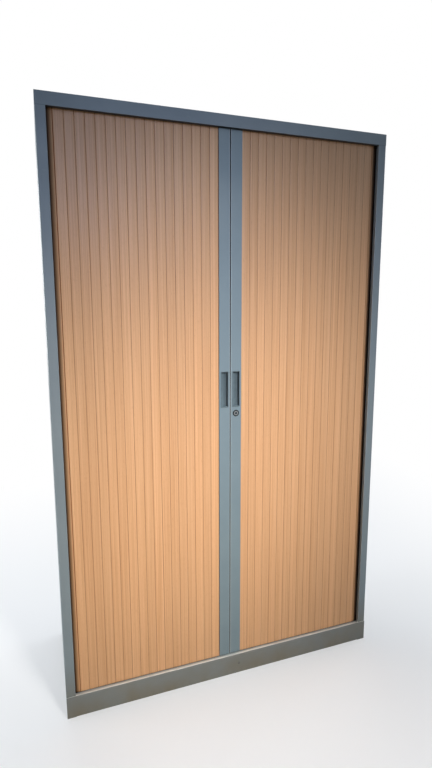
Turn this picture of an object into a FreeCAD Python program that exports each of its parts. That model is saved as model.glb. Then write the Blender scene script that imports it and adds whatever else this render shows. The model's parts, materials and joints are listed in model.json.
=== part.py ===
import FreeCAD, Part
import math
import os

Vector = FreeCAD.Vector

# Tall steel cupboard with two tambour doors that slide sideways and turn into the sides.
# Frame: +X to the right, the front faces -Y, +Z up, origin on the floor under the middle.

# Overall size
width = 1200.0
height = 1980.0
depth = 430.0

# Sheet steel
sheet = 0.8
bend_radius = 1.0
plinth_sheet = 1.5
cap_edge_radius = 1.5

# Front frame
top_rail_height = 38.0
stile_width = 30.0
stile_return = 11.5
plinth_height = 78.0
plinth_foot_return = 22.0
ledge_turn_down = 38.0
plinth_end_gap = 0.5
plinth_hole_x = 32.0
plinth_hole_z = 40.0
plinth_hole_radius = 2.2
rear_flange = 15.0
back_seam = 2.0
back_edge_gap = 2.0

# Curtain slats
slat_pitch = 30.0
slat_gap = 0.6
slat_plate = 1.4
slat_chamfer = 1.0
hinge_depth = 4.2
bead_radius = 1.3
bead_clearance = 0.2
socket_wall = 1.1
socket_opens_at = 104.0
socket_closes_at = 208.0
socket_facets = 4
bead_facets = 4
arm_thickness = 1.2
arm_length = 3.3
web_thickness = 1.2
tail_slats = 3
slat_count_slack = 0.01
halving_steps = 50

# Curtain path, measured on the hinge line
curtain_setback = 14.0
path_radius = 36.0
side_path_inset = 12.5
rear_path_inset = 19.7

# Tracks
track_height = 17.0
track_wall = 1.5
groove_width = 9.0
groove_front_play = 0.8
track_play = 0.2
running_play = 0.3
slat_top_entry = 10.0
rear_rail_spare = 30.0

# Lead posts
post_width = 40.0
post_gap = 3.0
post_depth = 22.0
post_proud = 3.0
post_wall = 1.5
post_lip = 1.5
post_corner_radius = 1.2
post_end_play = 1.5
shoe_plug_depth = 25.0
shoe_tongue_inset = 4.0
shoe_play = 0.2
shoe_tongue_chamfer = 3.0

# Finger pulls
pull_centre_z = 1092.0
pull_recess_width = 24.0
pull_recess_height = 122.0
pull_recess_depth = 12.5
pull_shallow_depth = 3.0
pull_slope_end = 2.0
pull_wall = 1.2
pull_flange = 1.4
pull_flange_thickness = 1.0
pull_flange_radius = 3.0
pull_play = 0.2

# Lock
lock_z = 1006.0
rosette_radius = 11.5
rosette_thickness = 2.0
rosette_edge = 0.8
rosette_rim = 2.2
rosette_lip = 0.9
rosette_dish_depth = 0.8
rosette_dish_slope = 0.5
barrel_radius = 9.0
barrel_length = 13.5
plug_radius = 6.5
plug_play = 0.08
plug_inset = 0.3
key_slot_width = 1.6
key_slot_height = 8.0
key_slot_depth = 6.0
cam_standoff = 1.5
cam_thickness = 2.0
cam_hub_radius = 7.0
cam_neck = 7.0
cam_barb_width = 3.5
cam_barb_rise = 7.0
cam_tang = 5.0
cam_tang_play = 0.05
hook_clearance = 2.0
hook_slot_play = 1.5
hook_slot_below = 33.0
hook_slot_above = 5.0
keeper_thickness = 1.2
keeper_margin = 12.0
keeper_slot_inset = 0.5

# Storage space
liner_inset = 27.5
inner_back_inset = 35.0
liner_hem = 5.5
liner_rear_flange = 12.0
stiffener_web = 40.0
stiffener_flange = 15.0
top_stiffener_inset = 40.0
pan_flange = 34.0
head_pan_rear_gap = 3.0

# Shelf racks, shelves and clips
rack_width = 30.0
rack_depth = 6.0
rack_sheet = 1.2
rack_end_gap = 20.0
rack_front_inset = 25.0
rack_rear_inset = 60.0
slot_pitch = 75.0
slot_first = 222.0
slot_width = 14.0
slot_height = 4.0
shelf_count = 4
shelf_slots_down = 3
shelf_thickness = 25.0
shelf_hem = 12.0
shelf_side_gap = 2.5
shelf_front_gap = 10.5
shelf_rear_gap = 4.0
clip_width = 12.0
clip_blade = 3.0
clip_reach = 13.5
clip_leg = 1.6
clip_leg_length = 19.0
clip_lip = 1.4
clip_lip_drop = 6.0
clip_play = 0.2

# Levelling feet
foot_inset_x = 42.0
foot_inset_y = 52.0
foot_pad_across_flats = 27.0
foot_pad_height = 6.0
foot_stud_radius = 4.0
foot_stud_top = 50.0
foot_thread_play = 0.05
bracket_size = 60.0
bracket_sheet = 3.0
bracket_level = 28.0
bracket_upstand = 18.0

# Planes and lines worked out from the sizes above
up = Vector(0, 0, 1)
half_width = width / 2
front = -depth / 2
back = depth / 2
frame_face = front + plinth_sheet
side_inner = half_width - sheet
back_inner = back - sheet
opening_bottom = plinth_height
opening_top = height - top_rail_height
pan_level = opening_bottom - track_height
head_level = opening_top + track_height

slat_face = frame_face + curtain_setback
hinge_y = slat_face + hinge_depth
side_path = half_width - side_path_inset
rear_path = back - rear_path_inset
corner_x = side_path - path_radius
front_corner_y = hinge_y + path_radius
rear_corner_y = rear_path - path_radius
groove_outer = path_radius + hinge_depth + groove_front_play
groove_inner = groove_outer - groove_width
wall_outer = groove_outer + track_wall
wall_inner = groove_inner - track_wall
track_front = front_corner_y - wall_outer

post_near = post_gap / 2
post_far = post_near + post_width
post_side = post_far - arm_length
post_front = slat_face - post_proud
post_rear = post_front + post_depth
post_low = opening_bottom + post_end_play
post_high = opening_top - post_end_play
fitting_x = (post_near + post_far - slat_gap / 2) / 2
cavity_near = post_near + post_wall
cavity_far = post_side - post_wall
cavity_front = post_front + post_wall
cavity_rear = post_rear - post_wall

slat_low = pan_level + track_wall + running_play
slat_high = opening_top + slat_top_entry

liner_x = half_width - liner_inset
inner_back_y = back - inner_back_inset
rack_face = liner_x - rack_depth
shelf_half = rack_face - shelf_side_gap
shelf_front = front_corner_y - shelf_front_gap
shelf_rear = inner_back_y - shelf_rear_gap
slot_base = opening_bottom + slot_first
slot_top_limit = opening_top - rack_end_gap - slot_pitch
slot_count = int((slot_top_limit - slot_base) // slot_pitch) + 1
slots_per_bay = round((opening_top - opening_bottom) / (shelf_count + 1) / slot_pitch)

cam_front = post_front + barrel_length + cam_standoff
cam_rear = cam_front + cam_thickness
keeper_inner = -(post_near + post_wall + keeper_thickness)


def segment(start, end):
    return Part.LineSegment(start, end).toShape()


def box(x0, x1, y0, y1, z0, z1):
    return Part.makeBox(x1 - x0, y1 - y0, z1 - z0, Vector(x0, y0, z0))


def prism(points, along):
    return Part.Face(Part.makePolygon(points + points[:1])).extrude(along)


def mirrored(shape):
    return shape.mirror(Vector(0, 0, 0), Vector(1, 0, 0))


def group(solids):
    return Part.makeCompound(solids)


def rounded_line(points, radii):
    """Edges along a line of points, with an arc of the given radius at each inner point.

    A radius of 0 leaves a plain corner.
    """
    edges = []
    start = points[0]
    for before, corner, after, radius in zip(points, points[1:], points[2:], radii):
        if radius == 0:
            edges.append(segment(start, corner))
            start = corner
            continue
        into = (corner - before).normalize()
        out = (after - corner).normalize()
        half_turn = into.getAngle(out) / 2
        reach = radius * math.tan(half_turn)
        rise = radius / math.cos(half_turn) - radius
        first = corner - into * reach
        last = corner + out * reach
        middle = corner + (out - into).normalize() * rise
        edges += [segment(start, first), Part.Arc(first, middle, last).toShape()]
        start = last
    edges.append(segment(start, points[-1]))
    return edges


def rounded_plan(x0, x1, y0, y1, radius, z):
    """Flat face with four rounded corners, seen from above."""
    start = Vector((x0 + x1) / 2, y0, z)
    corners = [Vector(x1, y0, z), Vector(x1, y1, z), Vector(x0, y1, z), Vector(x0, y0, z)]
    return Part.Face(Part.Wire(rounded_line([start] + corners + [start], [radius] * 4)))


def folded_sheet(points, along, thickness=sheet, round_bends=()):
    """Bent sheet: the points follow its outer face and the metal lies on their left, seen against along.

    The bends numbered in round_bends get the bend radius, and the others stay plain corners.
    """
    axis = Vector(along).normalize()
    runs = [(end - start).normalize() for start, end in zip(points, points[1:])]
    normals = [axis.cross(run) for run in runs]
    turns = [axis.dot(run.cross(after)) > 0 for run, after in zip(runs, runs[1:])]
    inner = [points[0] + normals[0] * thickness]
    for corner, one, two in zip(points[1:], normals, normals[1:]):
        inner.append(corner + (one + two) * (thickness / (1 + one.dot(two))))
    inner.append(points[-1] + normals[-1] * thickness)
    outer_radii = [0] * len(turns)
    inner_radii = [0] * len(turns)
    for bend in round_bends:
        outer_radii[bend] = bend_radius + thickness if turns[bend] else bend_radius
        inner_radii[bend] = bend_radius if turns[bend] else bend_radius + thickness
    edges = rounded_line(points, outer_radii)
    edges.append(segment(points[-1], inner[-1]))
    edges += rounded_line(inner[::-1], inner_radii[::-1])
    edges.append(segment(inner[0], points[0]))
    return Part.Face(Part.Wire(edges)).extrude(along)


def right_side_panel():
    """Side wall that folds round to the front stile, with a narrow flange for the back."""
    outline = [
        Vector(half_width - stile_width, frame_face + stile_return, 0),
        Vector(half_width - stile_width, frame_face, 0),
        Vector(half_width, frame_face, 0),
        Vector(half_width, back_inner, 0),
        Vector(half_width - rear_flange, back_inner, 0),
    ]
    return folded_sheet(outline, up * opening_top, round_bends=(0, 1))


def top_cap():
    """Folded lid with a deep front rail, open below, and a return behind the rail's lower edge."""
    shell = box(-half_width, half_width, frame_face, back, opening_top, height)
    crown = [edge for edge in shell.Edges if edge.BoundBox.ZMin > height - sheet]
    shell = shell.makeFillet(cap_edge_radius, crown)
    hollow = box(-side_inner, side_inner, frame_face + sheet, back_inner, opening_top, height - sheet)
    front_return = box(-side_inner, side_inner, frame_face, track_front, opening_top, opening_top + sheet)
    return shell.cut(hollow).fuse(front_return).removeSplitter()


def plinth_front():
    """Kick board over the full width, folded at its foot, over the ledge and down behind it."""
    reach = half_width - stile_width - plinth_end_gap
    outline = [
        Vector(reach, front + plinth_foot_return, 0),
        Vector(reach, front, 0),
        Vector(reach, front, plinth_height),
        Vector(reach, track_front, plinth_height),
        Vector(reach, track_front, plinth_height - ledge_turn_down),
    ]
    board = folded_sheet(outline, Vector(-2 * reach, 0, 0), plinth_sheet, round_bends=(0, 1))
    tab = box(reach, half_width, front, frame_face, 0, plinth_height)
    board = board.fuse([tab, mirrored(tab)]).removeSplitter()
    hole_start = Vector(plinth_hole_x, front - plinth_sheet, plinth_hole_z)
    hole = Part.makeCylinder(plinth_hole_radius, 3 * plinth_sheet, hole_start, Vector(0, 1, 0))
    return board.cut(hole)


def right_back_panel():
    """One half of the flat outer back, from the middle seam to the side panel's flange."""
    return box(back_seam / 2, half_width - back_edge_gap, back_inner, back, 0, opening_top)


def back_stiffener():
    """Hat section behind the seam, between the outer back and the inner back."""
    flange_y = inner_back_y + sheet
    web_y = back_inner - sheet
    half_web = stiffener_web / 2
    half_hat = half_web + stiffener_flange
    outline = [
        Vector(-half_hat, flange_y, opening_bottom),
        Vector(-half_web, flange_y, opening_bottom),
        Vector(-half_web, web_y, opening_bottom),
        Vector(half_web, web_y, opening_bottom),
        Vector(half_web, flange_y, opening_bottom),
        Vector(half_hat, flange_y, opening_bottom),
    ]
    return folded_sheet(outline, up * (opening_top - opening_bottom))


def top_stiffener():
    """Hat section across the cupboard, between the head pan and the top cap."""
    reach = half_width - top_stiffener_inset
    flange_z = head_level + sheet
    web_z = height - 2 * sheet
    half_web = stiffener_web / 2
    half_hat = half_web + stiffener_flange
    outline = [
        Vector(-reach, -half_hat, flange_z),
        Vector(-reach, -half_web, flange_z),
        Vector(-reach, -half_web, web_z),
        Vector(-reach, half_web, web_z),
        Vector(-reach, half_web, flange_z),
        Vector(-reach, half_hat, flange_z),
    ]
    return folded_sheet(outline, Vector(2 * reach, 0, 0))


def base_pan():
    """Folded pan, open below, that ties the sides, the plinth and the back and carries the lower tracks."""
    low = pan_level - pan_flange
    rear = back_inner - sheet
    outer = box(-side_inner, side_inner, track_front, rear, low, pan_level)
    reach = side_inner - sheet
    hollow = box(-reach, reach, track_front + sheet, rear - sheet, low, pan_level - sheet)
    return outer.cut(hollow)


def head_pan():
    """Plate over the upper tracks, with side flanges that tie the side panels to the top cap."""
    top = head_level + sheet
    outline = [
        Vector(-side_inner, track_front, top - pan_flange),
        Vector(-side_inner, track_front, top),
        Vector(side_inner, track_front, top),
        Vector(side_inner, track_front, top - pan_flange),
    ]
    return folded_sheet(outline, Vector(0, back_inner - sheet - head_pan_rear_gap - track_front, 0))


def tray(face_level, rim_level):
    """Folded tray inside the ring of tracks, with round corners and a rim along each straight edge."""
    radius = wall_inner - track_play
    reach_x = corner_x + radius
    front_y = front_corner_y - radius
    rear_y = rear_corner_y + radius
    low = min(face_level, rim_level)
    high = max(face_level, rim_level)
    plate_low = high - sheet if face_level > rim_level else low
    plate = rounded_plan(-reach_x, reach_x, front_y, rear_y, radius, plate_low).extrude(up * sheet)
    side_rim = box(reach_x - sheet, reach_x, front_corner_y, rear_corner_y, low, high)
    front_rim = box(-corner_x, corner_x, front_y, front_y + sheet, low, high)
    rear_rim = box(-corner_x, corner_x, rear_y - sheet, rear_y, low, high)
    return plate.fuse([side_rim, mirrored(side_rim), front_rim, rear_rim]).removeSplitter()


def right_liner():
    """Wall between the curtain's pocket and the storage space, hemmed in front and flanged behind."""
    flange_y = inner_back_y - sheet
    outline = [
        Vector(liner_x - liner_rear_flange, flange_y, opening_bottom),
        Vector(liner_x, flange_y, opening_bottom),
        Vector(liner_x, front_corner_y, opening_bottom),
        Vector(liner_x + liner_hem, front_corner_y, opening_bottom),
    ]
    return folded_sheet(outline, up * (opening_top - opening_bottom))


def inner_back_panel():
    reach = liner_x + sheet
    return box(-reach, reach, inner_back_y, inner_back_y + sheet, opening_bottom, opening_top)


def slot_level(index):
    return slot_base + index * slot_pitch


def right_rack(near_y):
    """Slotted channel that takes the shelf clips."""
    low = opening_bottom + rack_end_gap
    far_y = near_y + rack_width
    outline = [
        Vector(liner_x, far_y, low),
        Vector(rack_face, far_y, low),
        Vector(rack_face, near_y, low),
        Vector(liner_x, near_y, low),
    ]
    channel = folded_sheet(outline, up * (opening_top - rack_end_gap - low), rack_sheet)
    slot_y = near_y + (rack_width - slot_width) / 2
    slots = []
    for index in range(slot_count):
        level = slot_level(index)
        slots.append(box(rack_face - rack_sheet, rack_face + 2 * rack_sheet, slot_y, slot_y + slot_width,
                         level, level + slot_height))
    return channel.cut(slots)


def shelf_underside(number):
    """Level of the clips' upper faces under one shelf, counted from the lowest shelf."""
    return slot_level(number * slots_per_bay - shelf_slots_down) + clip_blade


def shelf(number):
    """Folded shelf with hemmed front and rear edges and plain turned-down ends."""
    low = shelf_underside(number)
    top = low + shelf_thickness
    outline = [
        Vector(shelf_half, shelf_front + shelf_hem, low),
        Vector(shelf_half, shelf_front, low),
        Vector(shelf_half, shelf_front, top),
        Vector(shelf_half, shelf_rear, top),
        Vector(shelf_half, shelf_rear, low),
        Vector(shelf_half, shelf_rear - shelf_hem, low),
    ]
    board = folded_sheet(outline, Vector(-2 * shelf_half, 0, 0))
    end = box(shelf_half - sheet, shelf_half, shelf_front + sheet, shelf_rear - sheet, low, top - sheet)
    return board.fuse([end, mirrored(end)]).removeSplitter()


def right_shelf_clip(number, rack_near_y):
    """Bent clip: a tongue under the shelf, a leg on the rack's face and a lip hooked behind the slot."""
    top = shelf_underside(number)
    blade_under = top - clip_blade
    y = rack_near_y + (rack_width - clip_width) / 2
    web_back = rack_face + rack_sheet
    lip_near = web_back + clip_play
    lip_far = lip_near + clip_lip
    outline = [
        Vector(rack_face - clip_reach, y, top),
        Vector(lip_far, y, top),
        Vector(lip_far, y, blade_under - clip_lip_drop),
        Vector(lip_near, y, blade_under - clip_lip_drop),
        Vector(lip_near, y, blade_under),
        Vector(rack_face, y, blade_under),
        Vector(rack_face, y, blade_under - clip_leg_length),
        Vector(rack_face - clip_leg, y, blade_under - clip_leg_length),
        Vector(rack_face - clip_leg, y, blade_under),
        Vector(rack_face - clip_reach, y, blade_under),
    ]
    return prism(outline, Vector(0, clip_width, 0))


def plan_rectangle(x0, x1, y0, y1):
    corners = [Vector(x0, y0, 0), Vector(x1, y0, 0), Vector(x1, y1, 0), Vector(x0, y1, 0)]
    return Part.Face(Part.makePolygon(corners + corners[:1]))


def plan_quarter_ring(centre_y, inner, outer, start_angle):
    """Quarter ring about the curtain's corner on the right, from start_angle in degrees."""
    def at(radius, turn):
        angle = math.radians(start_angle + turn)
        return Vector(corner_x + radius * math.cos(angle), centre_y + radius * math.sin(angle), 0)

    edges = [
        Part.Arc(at(outer, 0), at(outer, 45), at(outer, 90)).toShape(),
        segment(at(outer, 90), at(inner, 90)),
        Part.Arc(at(inner, 90), at(inner, 45), at(inner, 0)).toShape(),
        segment(at(inner, 0), at(outer, 0)),
    ]
    return Part.Face(Part.Wire(edges))


def track_piece(plan, groove_plan, level, opens_up):
    """Moulded channel of the given plan with a groove cut from its open side."""
    piece = plan.extrude(up * track_height)
    groove = groove_plan.extrude(up * (track_height - track_wall))
    if opens_up:
        groove.translate(up * track_wall)
    piece = piece.cut(groove)
    piece.translate(up * level)
    return piece


def front_rail(level, opens_up):
    plan = plan_rectangle(-corner_x, corner_x, front_corner_y - wall_outer, front_corner_y - wall_inner)
    groove = plan_rectangle(-corner_x, corner_x, front_corner_y - groove_outer, front_corner_y - groove_inner)
    return track_piece(plan, groove, level, opens_up)


def side_rails(level, opens_up):
    plan = plan_rectangle(corner_x + wall_inner, corner_x + wall_outer, front_corner_y, rear_corner_y)
    groove = plan_rectangle(corner_x + groove_inner, corner_x + groove_outer, front_corner_y, rear_corner_y)
    rail = track_piece(plan, groove, level, opens_up)
    return group([rail, mirrored(rail)])


def rear_rails(level, opens_up):
    """Rails behind the inner back, long enough for the part of an open curtain that the side can't take."""
    corner_length = path_radius * math.pi / 2
    side_length = rear_corner_y - front_corner_y
    stowed = (corner_x - post_far) + tail_slats * slat_pitch
    rear_length = stowed - 2 * corner_length - side_length + rear_rail_spare
    end_x = corner_x - rear_length
    plan = plan_rectangle(end_x, corner_x, rear_corner_y + wall_inner, rear_corner_y + wall_outer)
    groove = plan_rectangle(end_x, corner_x, rear_corner_y + groove_inner, rear_corner_y + groove_outer)
    rail = track_piece(plan, groove, level, opens_up)
    return group([rail, mirrored(rail)])


def track_bends(level, opens_up):
    bends = []
    for centre_y, start_angle in ((front_corner_y, -90), (rear_corner_y, 0)):
        plan = plan_quarter_ring(centre_y, wall_inner, wall_outer, start_angle)
        groove = plan_quarter_ring(centre_y, groove_inner, groove_outer, start_angle)
        bend = track_piece(plan, groove, level, opens_up)
        bends += [bend, mirrored(bend)]
    return group(bends)


def polar(centre, radius, degrees):
    angle = math.radians(degrees)
    return centre + Vector(radius * math.cos(angle), radius * math.sin(angle), 0)


def arc_points(centre, radius, start, end, facets):
    """Points along an arc, for round stretches that repeat on every slat and so get few flat facets."""
    return [polar(centre, radius, start + (end - start) * number / facets) for number in range(facets + 1)]


def bead_points(bead):
    """Hook's bead in plan, from the lower side of its arm round to the upper side, towards +X."""
    opening = 180 - math.degrees(math.asin(arm_thickness / 2 / bead_radius))
    return arc_points(bead, bead_radius, -opening, opening, bead_facets)


def slat():
    """One interlocking slat about its first hinge axis, with a socket at its start and a bead at its end."""
    face = -hinge_depth
    rear = face + slat_plate
    start = slat_gap / 2
    end = slat_pitch - slat_gap / 2
    web_far = slat_pitch - arm_length
    web_near = web_far - web_thickness
    half_arm = arm_thickness / 2
    socket = Vector(0, 0, 0)
    closes_at = socket_closes_at - 360
    half_facet = math.radians((socket_opens_at - closes_at) / socket_facets / 2)
    inner = (bead_radius + bead_clearance) / math.cos(half_facet)
    outer = inner + socket_wall
    outline = [
        Vector(start, face + slat_chamfer, 0),
        Vector(start + slat_chamfer, face, 0),
        Vector(end - slat_chamfer, face, 0),
        Vector(end, face + slat_chamfer, 0),
        Vector(end, rear, 0),
        Vector(web_far, rear, 0),
        Vector(web_far, -half_arm, 0),
    ]
    outline += bead_points(Vector(slat_pitch, 0, 0))
    outline += [
        Vector(web_near, half_arm, 0),
        Vector(web_near, rear, 0),
        Vector(outer, rear, 0),
    ]
    outline += arc_points(socket, outer, 0, socket_opens_at, socket_facets // 2)
    outline += arc_points(socket, inner, socket_opens_at, closes_at, socket_facets)
    outline += [
        polar(socket, outer, closes_at),
        Vector(start, rear, 0),
    ]
    return prism(outline, up * (slat_high - slat_low))


def path_point(length):
    """Point of the right curtain's hinge line at a length along it from the lead post."""
    straight = corner_x - post_far
    if length <= straight:
        return Vector(post_far + length, hinge_y, 0)
    turn = (length - straight) / path_radius
    if turn <= math.pi / 2:
        centre = Vector(corner_x, front_corner_y, 0)
        return polar(centre, path_radius, math.degrees(turn) - 90)
    beyond = length - straight - path_radius * math.pi / 2
    return Vector(side_path, front_corner_y + beyond, 0)


def next_hinge(length):
    """Length along the path of the hinge one slat further on, found by halving."""
    start = path_point(length)
    low = length
    high = length + 2 * slat_pitch
    for step in range(halving_steps):
        middle = (low + high) / 2
        if path_point(middle).distanceToPoint(start) < slat_pitch:
            low = middle
        else:
            high = middle
    return middle


def right_curtain_slats():
    """Closed curtain: flat slats across the doorway, then the tail that has begun to turn the corner."""
    pattern = slat()
    count = math.ceil((corner_x - post_far) / slat_pitch - slat_count_slack) + tail_slats
    slats = []
    length = 0.0
    for number in range(count):
        after = next_hinge(length)
        start = path_point(length)
        run = path_point(after) - start
        angle = math.degrees(math.atan2(run.y, run.x))
        piece = pattern.copy()
        piece.rotate(Vector(0, 0, 0), up, angle)
        piece.translate(start + up * slat_low)
        slats.append(piece)
        length = after
    return group(slats)


def right_post_blank():
    """Hollow lead post with a front lip over the first slat and a bead that the slat's socket clips on."""
    half_arm = arm_thickness / 2
    lip_end = post_far - slat_gap / 2
    start = Vector(fitting_x, post_front, 0)
    plain_corners = [
        Vector(lip_end, post_front, 0),
        Vector(lip_end, post_front + post_lip, 0),
        Vector(post_side, post_front + post_lip, 0),
        Vector(post_side, hinge_y - half_arm, 0),
    ]
    plain_corners += bead_points(Vector(post_far, hinge_y, 0))
    plain_corners += [
        Vector(post_side, hinge_y + half_arm, 0),
        Vector(post_side, post_rear, 0),
        Vector(post_near, post_rear, 0),
    ]
    meeting_corner = Vector(post_near, post_front, 0)
    radii = [0] * len(plain_corners) + [post_corner_radius]
    wire = Part.Wire(rounded_line([start] + plain_corners + [meeting_corner, start], radii))
    post = Part.Face(wire).extrude(up * (post_high - post_low))
    post.translate(up * post_low)
    return post.cut(box(cavity_near, cavity_far, cavity_front, cavity_rear, post_low, post_high))


def pull_window():
    """Hole in a post's front wall for the finger pull, on the right-hand side."""
    half_x = pull_recess_width / 2 + pull_wall + pull_play
    half_z = pull_recess_height / 2 + pull_wall + pull_play
    return box(fitting_x - half_x, fitting_x + half_x, post_front - post_wall, cavity_front + post_wall,
               pull_centre_z - half_z, pull_centre_z + half_z)


def hook_slot(x0, x1, shrink):
    """Space for the lock's hook through one upright wall, smaller all round by shrink."""
    return box(x0, x1, cam_front - hook_slot_play + shrink, cam_rear + hook_slot_play - shrink,
               lock_z - hook_slot_below + shrink, lock_z + hook_slot_above - shrink)


def lock_hole():
    start = Vector(fitting_x, post_front - post_wall, lock_z)
    return Part.makeCylinder(barrel_radius + pull_play, 3 * post_wall, start, Vector(0, 1, 0))


def right_post():
    slot = hook_slot(0, cavity_near + post_wall, -keeper_slot_inset)
    return right_post_blank().cut([pull_window(), lock_hole(), slot])


def left_post():
    slot = hook_slot(0, cavity_near + post_wall, -keeper_slot_inset)
    return mirrored(right_post_blank().cut([pull_window(), slot]))


def right_post_shoes():
    """Plug in each end of the post with a tongue that runs in the track's groove."""
    near = cavity_near + shoe_play
    far = cavity_far - shoe_play
    plug_front = cavity_front + shoe_play
    plug_rear = cavity_rear - shoe_play
    tongue_front = front_corner_y - groove_outer + running_play
    tongue_rear = front_corner_y - groove_inner - running_play
    tongue_near = near + shoe_tongue_inset
    tongue_far = far - shoe_tongue_inset
    low_end = slat_low
    high_end = slat_high
    shoes = []
    for tip, mouth, inside in ((low_end, post_low, post_low + shoe_plug_depth),
                               (high_end, post_high, post_high - shoe_plug_depth)):
        plug = box(near, far, plug_front, plug_rear, min(mouth, inside), max(mouth, inside))
        inward = math.copysign(shoe_tongue_chamfer, mouth - tip)
        outline = [
            Vector(tongue_near + shoe_tongue_chamfer, tongue_front, tip),
            Vector(tongue_far - shoe_tongue_chamfer, tongue_front, tip),
            Vector(tongue_far, tongue_front, tip + inward),
            Vector(tongue_far, tongue_front, mouth),
            Vector(tongue_near, tongue_front, mouth),
            Vector(tongue_near, tongue_front, tip + inward),
        ]
        tongue = prism(outline, Vector(0, tongue_rear - tongue_front, 0))
        shoes.append(plug.fuse(tongue).removeSplitter())
    return group(shoes)


def finger_pull(centre_x):
    """Moulded cup with a thin flange and a ramp from the left down to a deep finger space on the right."""
    face = post_front - pull_flange_thickness
    half_x = pull_recess_width / 2
    half_z = pull_recess_height / 2
    left = centre_x - half_x
    right = centre_x + half_x
    ramp_end = centre_x + pull_slope_end
    deep = face + pull_recess_depth
    shallow = face + pull_shallow_depth
    low = pull_centre_z - half_z

    outer = [
        Vector(left - pull_wall, face, low - pull_wall),
        Vector(right + pull_wall, face, low - pull_wall),
        Vector(right + pull_wall, deep + pull_wall, low - pull_wall),
        Vector(ramp_end - pull_wall, deep + pull_wall, low - pull_wall),
        Vector(left - pull_wall, shallow + pull_wall, low - pull_wall),
    ]
    recess = [
        Vector(left, face, low),
        Vector(right, face, low),
        Vector(right, deep, low),
        Vector(ramp_end, deep, low),
        Vector(left, shallow, low),
    ]
    reach_x = half_x + pull_wall + pull_flange
    reach_z = half_z + pull_wall + pull_flange
    flange_start = Vector(centre_x, face, pull_centre_z - reach_z)
    flange_corners = [
        Vector(centre_x + reach_x, face, pull_centre_z - reach_z),
        Vector(centre_x + reach_x, face, pull_centre_z + reach_z),
        Vector(centre_x - reach_x, face, pull_centre_z + reach_z),
        Vector(centre_x - reach_x, face, pull_centre_z - reach_z),
    ]
    rim = rounded_line([flange_start] + flange_corners + [flange_start], [pull_flange_radius] * 4)
    flange = Part.Face(Part.Wire(rim)).extrude(Vector(0, pull_flange_thickness, 0))
    cup = prism(outer, up * (pull_recess_height + 2 * pull_wall)).fuse(flange)
    return cup.cut(prism(recess, up * pull_recess_height)).removeSplitter()


def turned(profile, axis_point):
    """Solid of revolution about the lock's axis, from (distance behind the post's face, radius) points."""
    points = [axis_point + Vector(radius, along, 0) for along, radius in profile]
    face = Part.Face(Part.makePolygon(points + points[:1]))
    return face.revolve(axis_point, Vector(0, 1, 0), 360)


lock_axis = Vector(fitting_x, post_front, lock_z)


def lock_housing():
    """Barrel with its dished rosette, bored for the plug."""
    bore = plug_radius + plug_play
    lip_end = bore + rosette_lip
    rim_start = rosette_radius - rosette_rim
    dish_floor = -rosette_thickness + rosette_dish_depth
    profile = [
        (-rosette_thickness, bore),
        (-rosette_thickness, lip_end),
        (dish_floor, lip_end + rosette_dish_slope),
        (dish_floor, rim_start - rosette_dish_slope),
        (-rosette_thickness, rim_start),
        (-rosette_thickness, rosette_radius - rosette_edge),
        (-rosette_thickness + rosette_edge, rosette_radius),
        (0, rosette_radius),
        (0, barrel_radius),
        (barrel_length, barrel_radius),
        (barrel_length, bore),
    ]
    return turned(profile, lock_axis)


def lock_plug():
    """Turning core with its key slot in front and a square tang behind for the cam."""
    face = -rosette_thickness + plug_inset
    length = cam_front - post_front - face
    start = lock_axis + Vector(0, face, 0)
    core = Part.makeCylinder(plug_radius, length, start, Vector(0, 1, 0))
    half = cam_tang / 2
    tang = box(fitting_x - half, fitting_x + half, cam_front, cam_rear, lock_z - half, lock_z + half)
    half_slot = key_slot_width / 2
    half_height = key_slot_height / 2
    key_slot = box(fitting_x - half_slot, fitting_x + half_slot, start.y, start.y + key_slot_depth,
                   lock_z - half_height, lock_z + half_height)
    return core.fuse(tang).cut(key_slot)


def lock_cam():
    """Flat cam that hangs straight down when unlocked, with a barb at its end on the side of its swing."""
    barb_near = fitting_x - keeper_inner + hook_clearance
    barb_far = barb_near + cam_barb_width
    half_neck = cam_neck / 2
    outline = [
        Vector(half_neck, 0, 0),
        Vector(half_neck, 0, -barb_far),
        Vector(-cam_barb_rise, 0, -barb_far),
        Vector(-cam_barb_rise, 0, -barb_near),
        Vector(-half_neck, 0, -barb_near),
        Vector(-half_neck, 0, 0),
    ]
    neck = prism(outline, Vector(0, cam_thickness, 0))
    hub = Part.makeCylinder(cam_hub_radius, cam_thickness, Vector(0, 0, 0), Vector(0, 1, 0))
    half = cam_tang / 2 + cam_tang_play
    cam = neck.fuse(hub).cut(box(-half, half, 0, cam_thickness, -half, half)).removeSplitter()
    cam.translate(Vector(fitting_x, cam_front, lock_z))
    return cam


def lock_keeper():
    """Plate inside the left post's meeting wall that the hook draws on."""
    outer = -(post_near + post_wall)
    plate = box(keeper_inner, outer, cam_front - 2 * hook_slot_play, cavity_rear - shoe_play,
                lock_z - hook_slot_below - keeper_margin, lock_z + hook_slot_above + keeper_margin)
    return plate.cut(hook_slot(keeper_inner - keeper_thickness, outer + keeper_thickness, 0))


def four_corners(piece):
    """A piece made at the front right, and its copies at the other three corners."""
    rear = piece.mirror(Vector(0, 0, 0), Vector(0, 1, 0))
    return group([piece, mirrored(piece), rear, mirrored(rear)])


foot_x = half_width - foot_inset_x
foot_y = front + foot_inset_y


def levelling_foot():
    """Hexagonal pad and stud in one piece."""
    centre = Vector(foot_x, foot_y, 0)
    corner_radius = foot_pad_across_flats / math.sqrt(3)
    pad = prism([polar(centre, corner_radius, 60 * number) for number in range(6)], up * foot_pad_height)
    stud = Part.makeCylinder(foot_stud_radius, foot_stud_top - foot_pad_height, centre + up * foot_pad_height)
    return pad.fuse(stud).removeSplitter()


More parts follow.
